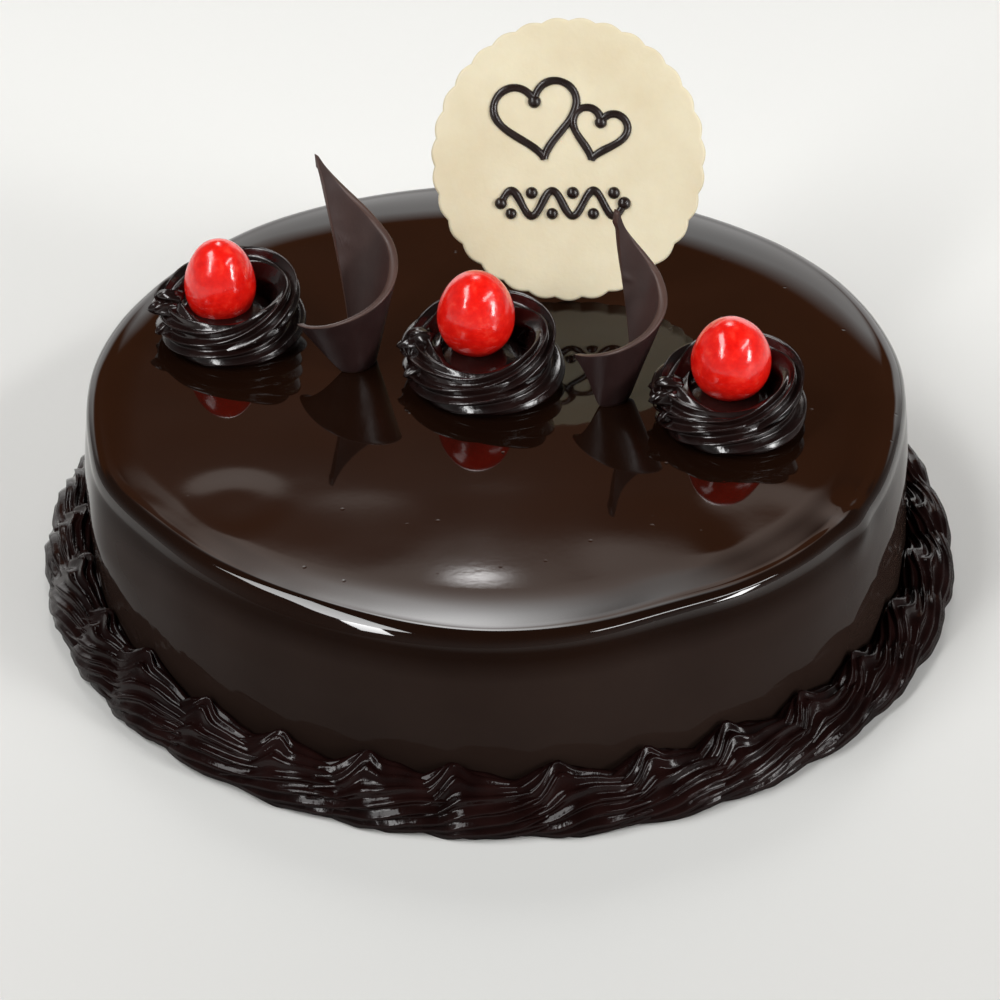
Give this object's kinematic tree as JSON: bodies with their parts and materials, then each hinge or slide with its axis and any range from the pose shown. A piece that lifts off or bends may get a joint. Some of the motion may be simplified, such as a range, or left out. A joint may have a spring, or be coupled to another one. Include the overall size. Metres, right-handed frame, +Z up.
{
  "type": "truffle cake",
  "caption": "Round glazed chocolate truffle cake with a piped shell border, cherry-topped rosettes, curled chocolate leaves and an upright scalloped white disc.",
  "frame": {"origin": "centre of the flat base, on the surface the cake stands on", "axes": "+Z up; the front, seen in the picture, faces -Y; +X to the right as seen from the front"},
  "size_m": [0.227, 0.2262, 0.1122],
  "materials": {
    "glaze": "mirror-glossy dark chocolate glaze",
    "ganache": "glossy piped dark ganache",
    "cherry": "wet glossy red",
    "dark_chocolate": "satin dark chocolate",
    "white_chocolate": "satin cream-white chocolate"
  },
  "bodies": {
    "root": {"cake_body": "glaze", "shell_border": "ganache", "rosette_left": "ganache", "rosette_middle": "ganache", "rosette_right": "ganache", "cherry_left": "cherry", "cherry_middle": "cherry", "cherry_right": "cherry", "curl_left": "dark_chocolate", "curl_right": "dark_chocolate", "white_disc": "white_chocolate"}
  },
  "joints": []
}
